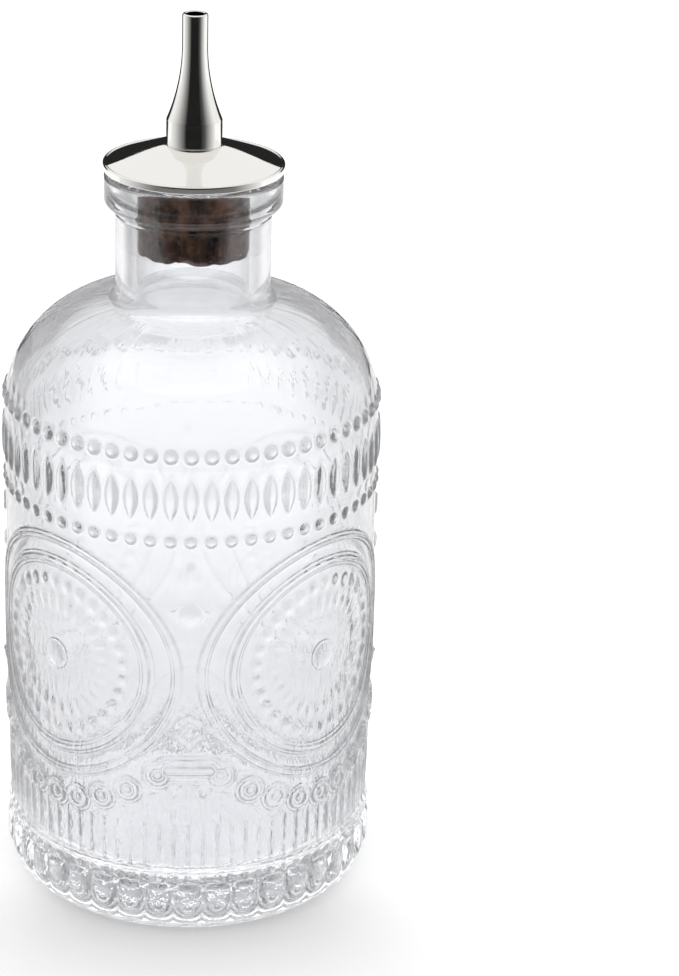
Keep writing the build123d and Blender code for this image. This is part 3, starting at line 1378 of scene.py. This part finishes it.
    def ripple(self, mesh: bmesh.types.BMesh, first: int) -> None:
        """Give the inner wall the slow waves that pressing leaves in it.

        Args:
            mesh: The bottle's mesh.
            first: Index of the first vertex of the plain part.
        """
        least, most = self.ripple_reach
        bottom, top = self.ripple_heights
        for vertex in list(mesh.verts)[first:]:
            reach, level = hypot(vertex.co.x, vertex.co.y), vertex.co.z
            if not (least < reach < most and bottom < level < top):
                continue
            turn = atan2(vertex.co.x, -vertex.co.y)
            wave = sum(share * sin(count * turn + level / pitch) for share, count, pitch in self.ripples)
            scale = 1 + self.ripple_depth * wave / reach
            vertex.co.x *= scale
            vertex.co.y *= scale

    def build(self) -> bpy.types.Object:
        """Build the bottle, dress it and set it on its body.

        Returns:
            The bottle.
        """
        mesh = bmesh.new()
        sectors = self.medallions.count
        spun(mesh, self.underside() + self.relief_rows(), self.relief_columns // sectors, 1 / sectors)
        reach, angle, height = polar(mesh)
        on_wall = reach > self.punt_radius + self.punt_depth
        set_radius(mesh, reach + np.where(on_wall, self.relief(angle, height), 0), angle)
        repeated(mesh, sectors)
        first = len(mesh.verts)
        spun(mesh, self.plain_outline(), self.plain_columns)
        self.ripple(mesh, first)
        close_rims(mesh)
        piece = finished("glass_skin", mesh, self.finish.material())
        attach(piece, Body.BOTTLE.value)
        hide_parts("glass_bottle")
        return piece


@dataclass
class CorkStopper:
    """The cork, with a ragged lower edge and pits in its side."""

    finish: NaturalCork = field(default_factory=NaturalCork)
    columns: int = 144
    rows: int = 34
    plain_rows: int = 3
    side_inset: float = 0.12
    edge_inset: float = 0.35
    edge_rounding: float = 0.9
    end_shares: Point = (0.6, 0.85)
    hole_radius: float = 3.04
    core_share: float = 0.5
    top_margin: float = 0.1
    pit_depth: float = 0.5
    pit_scale: float = 0.55
    pit_shift: float = 3.1
    pit_floor: float = 0.22
    pit_span: float = 0.5
    ragged_depth: float = 1.0
    fray_scale: float = 0.9
    fray_height: float = 1.6
    chip_scale: float = 0.4
    chip_height: float = 0.8

    def build(self) -> bpy.types.Object:
        """Build the cork in the place of its CAD node, dress it and set it on the stopper.

        Returns:
            The cork.
        """
        low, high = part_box("cork_stopper")
        radius = high.x / MM
        bottom, top = low.z / MM, high.z / MM
        rise = (top - bottom) / self.rows
        levels = [bottom + rise * row for row in range(self.plain_rows + 1, self.rows)]
        outline = rounded([
            Corner(self.hole_radius, bottom),
            *(Corner(radius * share, bottom) for share in self.end_shares),
            Corner(radius - self.edge_inset, bottom, self.edge_rounding, 6),
            *(Corner(radius - self.side_inset, level) for level in levels),
            Corner(radius, top),
            Corner(self.hole_radius, top),
            Corner(self.hole_radius, bottom),
        ])
        mesh = bmesh.new()
        spun(mesh, outline[:-1], self.columns)
        close_rims(mesh)
        self.weather(mesh, radius, bottom, top)
        piece = finished("cork_body", mesh, self.finish.material())
        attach(piece, Body.STOPPER.value)
        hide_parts("cork_stopper")
        return piece

    def weather(self, mesh: bmesh.types.BMesh, radius: float, bottom: float, top: float) -> None:
        """Pit the side and fray the lower edge, always inwards.

        Args:
            mesh: The cork's mesh.
            radius: Radius of the cork.
            bottom: Height of its lower end.
            top: Height of its upper end.
        """
        shift = Vector((self.pit_shift, 0.0, 0.0))
        for vertex in mesh.verts:
            reach, rise = hypot(vertex.co.x, vertex.co.y), vertex.co.z - bottom
            if reach < radius * self.core_share or vertex.co.z > top - self.top_margin:
                continue
            pit = max(0.0, noise.noise(vertex.co * self.pit_scale + shift) - self.pit_floor) / self.pit_span
            fray = max(0.0, noise.noise(vertex.co * self.fray_scale)) * max(0.0, 1 - rise / self.fray_height)
            scale = 1 - (self.pit_depth * pit + self.ragged_depth * fray) / reach
            vertex.co.x *= scale
            vertex.co.y *= scale
            if rise < self.chip_height:
                vertex.co.z += self.ragged_depth * max(0.0, noise.noise(vertex.co * self.chip_scale))


@dataclass
class CapDisc:
    """The domed chrome disc with its rolled rim."""

    finish: Chrome = field(default_factory=Chrome)
    columns: int = 192
    hole_radius: float = 3.04
    flat_share: float = 0.8
    rim_height: float = 1.2
    rim_roundings: Point = (0.14, 0.28)
    crease_width: float = 0.45
    crease_depth: float = 0.12
    crease_rounding: float = 0.12
    crease_edge_share: float = 0.8
    crease_edge_rounding: float = 0.05
    foot_radius: float = 4.87
    outer_slope: float = 16.6
    inner_slope: float = 11.5
    crown_steps: int = 16
    crease_angle: float = 40.0

    def build(self) -> bpy.types.Object:
        """Build the disc in the place of its CAD node, dress it and set it on the stopper.

        Returns:
            The disc.
        """
        low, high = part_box("cap_disc")
        radius = high.x / MM
        bottom, top = low.z / MM, high.z / MM
        rim_top = bottom + self.rim_height
        lower_rounding, upper_rounding = self.rim_roundings
        crease = Corner(radius - self.crease_width, rim_top - self.crease_depth, self.crease_rounding, 2)
        edge_radius = radius - self.crease_width * self.crease_edge_share
        outline = rounded([
            Corner(self.hole_radius, bottom),
            Corner(radius * self.flat_share, bottom),
            Corner(radius, bottom, lower_rounding),
            Corner(radius, rim_top, upper_rounding),
            Corner(edge_radius, rim_top, self.crease_edge_rounding, 2),
            crease,
            *self.crown((crease.r, crease.z), (self.foot_radius, top)),
            Corner(self.hole_radius, top),
        ])
        mesh = bmesh.new()
        spun(mesh, outline, self.columns)
        close_rims(mesh)
        piece = finished("chrome_disc", mesh, self.finish.material(), self.crease_angle)
        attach(piece, Body.STOPPER.value)
        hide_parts("cap_disc")
        return piece

    def crown(self, start: Point, end: Point) -> list[Corner]:
        """Corners of the dome between the crease and the spout's foot, on one smooth curve.

        Args:
            start: Where the dome leaves the crease.
            end: Where it meets the spout's foot.

        Returns:
            The corners, the last one included.
        """
        slopes = (radians(self.outer_slope), radians(self.inner_slope))
        first, last = (Vector((-cos(slope), sin(slope))) for slope in slopes)
        begin, finish = Vector(start), Vector(end)
        reach = (finish - begin).length / 3
        handles = (begin, begin + first * reach, finish - last * reach, finish)
        corners = []
        for step in range(1, self.crown_steps + 1):
            t = step / self.crown_steps
            weights = ((1 - t) ** 3, 3 * t * (1 - t) ** 2, 3 * t * t * (1 - t), t ** 3)
            point = sum((handle * weight for handle, weight in zip(handles, weights)), Vector((0, 0)))
            corners.append(Corner(point.x, point.y))
        return corners


@dataclass
class DashSpout:
    """The tapered chrome spout with its open bore."""

    finish: Chrome = field(default_factory=Chrome)
    columns: int = 128
    foot_height: float = 4.1
    foot_rounding: float = 0.5
    neck_radius: float = 4.24
    neck_bevel: float = 0.65
    flare_height: float = 11.5
    flare_steps: int = 18
    tip_radius: float = 2.07
    tip_roundings: Point = (0.28, 0.22)
    tip_clearance: float = 0.001
    bore_radius: float = 1.45
    bore_stop: float = 4.0
    socket_radius: float = 3.04
    socket_depth: float = 3.0
    ring_proud: float = 0.06
    ring_height: float = 0.35
    ring_rounding: float = 0.05
    ring_foot_inset: float = 0.1
    ring_foot_share: float = 0.4
    crease_angle: float = 50.0

    def flare(self, foot: float) -> list[Corner]:
        """Corners of the flare, on an arc that ends upright.

        Args:
            foot: Height where the flare starts.

        Returns:
            The corners from the neck's edge to the start of the straight tip.
        """
        run = self.neck_radius - self.tip_radius
        radius = (run ** 2 + self.flare_height ** 2) / (2 * run)
        corners = []
        for step in range(1, self.flare_steps + 1):
            rise = self.flare_height * step / self.flare_steps
            left = self.flare_height - rise
            inward = radius - sqrt(radius ** 2 - left ** 2)
            corners.append(Corner(self.tip_radius + inward, foot + rise))
        return corners

    def build(self) -> bpy.types.Object:
        """Build the spout in the place of its CAD node, dress it and set it on the stopper.

        Returns:
            The spout.
        """
        low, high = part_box("dash_spout")
        foot_radius = high.x / MM
        bottom, top = low.z / MM, high.z / MM - self.tip_clearance
        ring_top = bottom + self.ring_height
        side_radius = foot_radius - self.ring_proud
        neck_foot = bottom + self.foot_height
        flare_foot = neck_foot + self.neck_bevel
        socket_top = bottom + self.socket_depth
        outer_rounding, inner_rounding = self.tip_roundings
        outline = rounded([
            Corner(self.socket_radius, bottom),
            Corner(foot_radius - self.ring_foot_inset, bottom, self.ring_rounding, 2),
            Corner(foot_radius, bottom + self.ring_height * self.ring_foot_share, self.ring_rounding, 2),
            Corner(foot_radius, ring_top, self.ring_rounding, 2),
            Corner(side_radius, ring_top + self.ring_foot_inset),
            Corner(side_radius, neck_foot, self.foot_rounding),
            Corner(self.neck_radius, flare_foot, self.foot_rounding, 4),
            *self.flare(flare_foot),
            Corner(self.tip_radius, top, outer_rounding, 6),
            Corner(self.bore_radius, top, inner_rounding),
            Corner(self.bore_radius, socket_top + self.bore_stop),
            Corner(self.bore_radius, socket_top),
            Corner(self.socket_radius, socket_top),
            Corner(self.socket_radius, bottom),
        ])
        mesh = bmesh.new()
        spun(mesh, outline, self.columns)
        piece = finished("chrome_spout", mesh, self.finish.material(), self.crease_angle)
        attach(piece, Body.STOPPER.value)
        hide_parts("dash_spout")
        return piece


@dataclass
class StemTube:
    """The steel tube inside the cork, which keeps its CAD mesh."""

    finish: BrushedSteel = field(default_factory=BrushedSteel)

    def dress(self, node: bpy.types.Object) -> None:
        """Give the CAD node its steel finish.

        Args:
            node: The stem tube's CAD node.
        """
        node.data.materials.clear()
        node.data.materials.append(self.finish.material())


# Studio


@dataclass
class PhotoCamera:
    """The camera at the photograph's place and angle."""

    place: tuple[float, float, float] = (0.0, -0.47737, 0.26890)
    pitch: float = 22.725
    yaw: float = 2.990
    roll: float = 1.6415
    lens: float = 113.45
    sensor_width: float = 36.0
    clip_start: float = 0.01
    clip_end: float = 20.0

    def build(self) -> None:
        """Make the camera and set it as the scene's."""
        down, side, lean = radians(self.pitch), radians(self.yaw), radians(self.roll)
        forward = Vector((sin(side) * cos(down), cos(side) * cos(down), -sin(down)))
        right = Vector((cos(side), -sin(side), 0.0))
        up = right.cross(forward)
        rolled_right = right * cos(lean) + up * sin(lean)
        rolled_up = up * cos(lean) - right * sin(lean)
        turn = Matrix((rolled_right, rolled_up, -forward)).transposed().to_4x4()
        data = bpy.data.cameras.new("photo_camera")
        data.lens = self.lens
        data.sensor_width = self.sensor_width
        data.clip_start = self.clip_start
        data.clip_end = self.clip_end
        camera = bpy.data.objects.new("photo_camera", data)
        camera.matrix_world = Matrix.Translation(self.place) @ turn
        bpy.context.scene.collection.objects.link(camera)
        bpy.context.scene.camera = camera


def staged(name: str, mesh: bmesh.types.BMesh, material: bpy.types.Material) -> bpy.types.Object:
    """Make an object that belongs to the studio and not to the bottle.

    Args:
        name: Name of the object.
        mesh: The mesh in metres; it is freed here.
        material: What the object is made of.

    Returns:
        The new object, at the origin.
    """
    data = bpy.data.meshes.new(name)
    mesh.to_mesh(data)
    mesh.free()
    data.materials.append(material)
    prop = bpy.data.objects.new(name, data)
    bpy.context.scene.collection.objects.link(prop)
    return prop


@dataclass
class Flag:
    """A curved dark card round the object that only reflections see."""

    name: str
    middle: float
    radius: float
    top: float
    shades: Stops
    strip: tuple[float, float, float] = (0.0, 0.0, 0.0)
    behind_glass: float = 0.5
    glass_depth: float = 0.5
    columns: int = 48

    def build(self) -> bpy.types.Object:
        """Make the card as part of a cylinder, with its grey levels by the angle from its middle.

        Returns:
            The card.
        """
        first, last = self.shades[0][0], self.shades[-1][0]
        start = radians(self.middle + first)
        x, y = self.radius * sin(start), -self.radius * cos(start)
        mesh = bmesh.new()
        ends = [mesh.verts.new((x, y, z)) for z in (0.0, self.top)]
        bmesh.ops.spin(
            mesh,
            geom=ends + [mesh.edges.new(ends)],
            cent=(0, 0, 0),
            axis=(0, 0, 1),
            dvec=(0, 0, 0),
            angle=radians(last - first),
            steps=self.columns,
        )
        card = staged(self.name, mesh, self.material())
        card.visible_camera = False
        card.visible_diffuse = False
        card.visible_transmission = False
        card.visible_shadow = False
        return card

    def material(self) -> bpy.types.Material:
        """Build the glow of the card, which is paler to light that has passed through glass.

        Returns:
            The material.
        """
        material, nodes = new_material(self.name)
        turned = nodes.add(
            "VectorRotate", {"rotation_type": "Z_AXIS"}, Vector=nodes.place(), Angle=-radians(self.middle)
        )
        x, y, z = nodes.split(turned.outputs["Vector"])
        shade = nodes.profile(nodes.math("DEGREES", nodes.math("ARCTAN2", x, -y)), self.shades)
        lighter = (nodes.path("Transmission Depth") > self.glass_depth) * self.behind_glass
        middle, half_height, tone = self.strip
        strip = nodes.math("COMPARE", z, middle, half_height) * tone
        glow = nodes.add("Emission", Color=WHITE, Strength=shade.at_least(lighter).at_least(strip))
        nodes.add("OutputMaterial", Surface=glow.outputs["Emission"])
        return material


@dataclass
class Studio:
    """White table, white surroundings and the dark cards that draw the edges of glass and chrome."""

    table_reach: float = 3.0
    table_segments: int = 96
    table_colour: float = 0.86
    camera_fill: float = 0.36
    glass_fill: float = 0.28
    # Painted light: the table under the foot glows brighter to glass and reflections.
    painted_light_under_foot: float = 0.42
    side_tones: Stops = (
        (-0.30, 0.42), (-0.10, 0.46), (-0.045, 1.0), (0.045, 1.0), (0.10, 0.60), (0.30, 0.58),
    )
    front_tones: Stops = ((-0.26, 0.05), (-0.17, 1.0))
    near_edge: float = 0.10
    far_edge: float = 0.26
    near_tone: float = 0.45
    far_scale: float = 0.45
    middle_shade: Stops = ((0.10, 0.19), (0.16, 0.07), (0.22, 0.0))
    # Painted shade: a dark ring on the table round the foot, seen only through the glass.
    foot_ring_shade: Stops = ((0.0298, 1.0), (0.0308, 0.30), (0.0350, 0.75), (0.0450, 1.0))
    mottle_grain: Grain = Grain(170.0)
    mottle_tones: Stops = ((0.42, 0.86), (0.55, 1.0))
    shadow_depth: float = 0.29
    shadow_reach: float = 0.032
    shadow_front: Point = (0.25, 0.9)
    foot_radius: float = 0.0306
    horizon_tones: Stops = (
        (-1.0, 0.66), (0.02, 0.66), (0.10, 0.56), (0.34, 0.46), (0.75, 1.0), (1.0, 1.0),
    )
    highlight: float = 3.2
    highlight_depth: float = 1.5
    highlight_rise: Stops = ((0.25, 0.0), (0.70, 1.0), (1.0, 1.0))
    highlight_side: Stops = ((0.0, 1.0), (0.35, 0.0))
    flags: tuple[Flag, ...] = (
        Flag("flag_back", 180.0, 0.46, 0.288, ((-46.0, 0.3), (-40.0, 0.02), (40.0, 0.02), (46.0, 0.3))),
        Flag(
            "flag_front", 0.0, 0.25, 0.40,
            ((-105.0, 0.95), (-85.0, 0.75), (-60.0, 0.35), (-33.0, 0.015), (26.0, 0.015), (44.0, 0.10),
             (60.0, 0.38), (92.0, 1.0)),
            (0.050, 0.008, 0.20),
        ),
    )

    def build(self) -> None:
        """Make the table, the surroundings and the cards."""
        mesh = bmesh.new()
        bmesh.ops.create_circle(mesh, cap_ends=True, segments=self.table_segments, radius=self.table_reach)
        staged("table", mesh, self.table_material())
        self.surround()
        for flag in self.flags:
            flag.build()

    def contact_shade(self, nodes: NodeGraph, x: Value, y: Value) -> Value:
        """How much painted shadow darkens the table in front of the foot.

        Args:
            nodes: The table's node graph.
            x: Place along X, in metres.
            y: Place along Y, in metres.

        Returns:
            The share of the table's tone that the painted shadow takes away, from 0 to the shadow's depth.
        """
        reach = nodes.hypot(x, y)
        beyond = (reach - self.foot_radius).at_least(0.0)
        falloff = nodes.math("EXPONENT", beyond / -self.shadow_reach)
        frontness = -y / reach.at_least(MM)
        return falloff * nodes.map_range(frontness, *self.shadow_front, 0.0, self.shadow_depth)

    def under_tone(self, nodes: NodeGraph, x: Value, y: Value, under: Value) -> Value:
        """Tone of the table as the glass sees it near and under its foot: a painted dark ring of shade round
        the foot, and a mottle under it which gives the foot its sparkle.

        Args:
            nodes: The table's node graph.
            x: Place along X, in metres.
            y: Place along Y, in metres.
            under: 1 under the bottle, 0 beside it.

        Returns:
            The tone, where 1 is the table's own.
        """
        # Painted shade: the table darkens in a ring round the foot.
        ring_shade = nodes.profile(nodes.hypot(x, y), self.foot_ring_shade)
        flat = nodes.add("CombineXYZ", X=x, Y=y).outputs["Vector"]
        mottle = nodes.profile(nodes.noise(flat, self.mottle_grain), self.mottle_tones)
        return ring_shade * (1.0 - under * (1.0 - mottle))

    def through_tone(self, nodes: NodeGraph, x: Value, y: Value, under: Value) -> Value:
        """Tone of the table as the glass sees it all round; the arguments are those of under_tone."""
        narrowed = x * nodes.map_range(y, self.near_edge, self.far_edge, 1.0, self.far_scale)
        sides = 1.0 - nodes.profile(narrowed, self.side_tones)
        farness = nodes.map_range(y, self.near_edge, self.far_edge, self.near_tone, 1.0)
        front = 1.0 - nodes.profile(y, self.front_tones)
        darker = (sides * farness).at_least(front).at_least(nodes.profile(y, self.middle_shade))
        return (1.0 - darker) * self.under_tone(nodes, x, y, under)

    def table_material(self) -> bpy.types.Material:
        """Build the pale matt finish that takes the shadow, with a painted shadow in front of the foot for
        the camera; glass sees its far sides greyer, a painted dark ring round the foot and painted light
        under it.

        Returns:
            The material.
        """
        material, nodes = new_material("white_table")
        seen, passed = nodes.path("Is Camera Ray"), nodes.path("Is Transmission Ray")
        x, y, _ = nodes.split(nodes.place())
        under = nodes.hypot(x, y) < self.foot_radius
        dimmed = (1.0 - self.through_tone(nodes, x, y, under)) * passed
        # The camera sees a painted shadow in front of the foot.
        level = 1.0 - dimmed - self.contact_shade(nodes, x, y) * seen
        grey = level * self.table_colour
        tone = nodes.add("CombineColor", Red=grey, Green=grey, Blue=grey)
        matt = nodes.add("BsdfDiffuse", Color=tone.outputs["Color"])
        through_object = passed.at_least(nodes.path("Is Glossy Ray"))
        # Painted light under the foot, seen through the glass and in reflections.
        fill = through_object * (under * self.painted_light_under_foot + self.glass_fill)
        glow = nodes.add("Emission", Color=WHITE, Strength=(seen * self.camera_fill).at_least(fill) * level)
        both = nodes.add("AddShader")
        nodes.set(both.inputs[0], matt.outputs["BSDF"])
        nodes.set(both.inputs[1], glow.outputs["Emission"])
        nodes.add("OutputMaterial", Surface=both.outputs["Shader"])
        return material

    def surround(self) -> None:
        """Light the object evenly from all sides; glass sees the lower part of the room greyer."""
        world = bpy.data.worlds.new("white_surround")
        world.use_nodes = True
        nodes = NodeGraph(world.node_tree)
        _, away, rise = nodes.split(nodes.add("TexCoord").outputs["Generated"])
        dark = 1.0 - nodes.profile(rise, self.horizon_tones)
        level = 1.0 - dark * nodes.path("Is Transmission Ray")
        patch = nodes.profile(rise, self.highlight_rise) * nodes.profile(away, self.highlight_side)
        shine = patch * nodes.path("Is Glossy Ray") * (nodes.path("Ray Depth") < self.highlight_depth)
        sky = nodes.add("Background", Color=WHITE, Strength=level + shine * self.highlight)
        nodes.add("OutputWorld", Surface=sky.outputs["Background"])
        bpy.context.scene.world = world


def main() -> None:
    """Load the frame, build every piece and set up the studio."""
    logging.basicConfig(level=logging.INFO, format="%(name)s: %(message)s")
    for old in list(bpy.data.objects):
        bpy.data.objects.remove(old)
    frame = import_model()
    for sub_assembly in (GlassBottle(), CorkStopper(), CapDisc(), DashSpout()):
        sub_assembly.build()
    StemTube().dress(frame["nodes"]["stem_tube"])
    Studio().build()
    PhotoCamera().build()
    scene = bpy.context.scene
    scene.view_settings.view_transform = "Standard"
    scene.cycles.max_bounces = LIGHT_BOUNCES
    scene.cycles.transmission_bounces = LIGHT_BOUNCES
    scene.cycles.transparent_max_bounces = LIGHT_BOUNCES


if __name__ == "__main__":
    main()
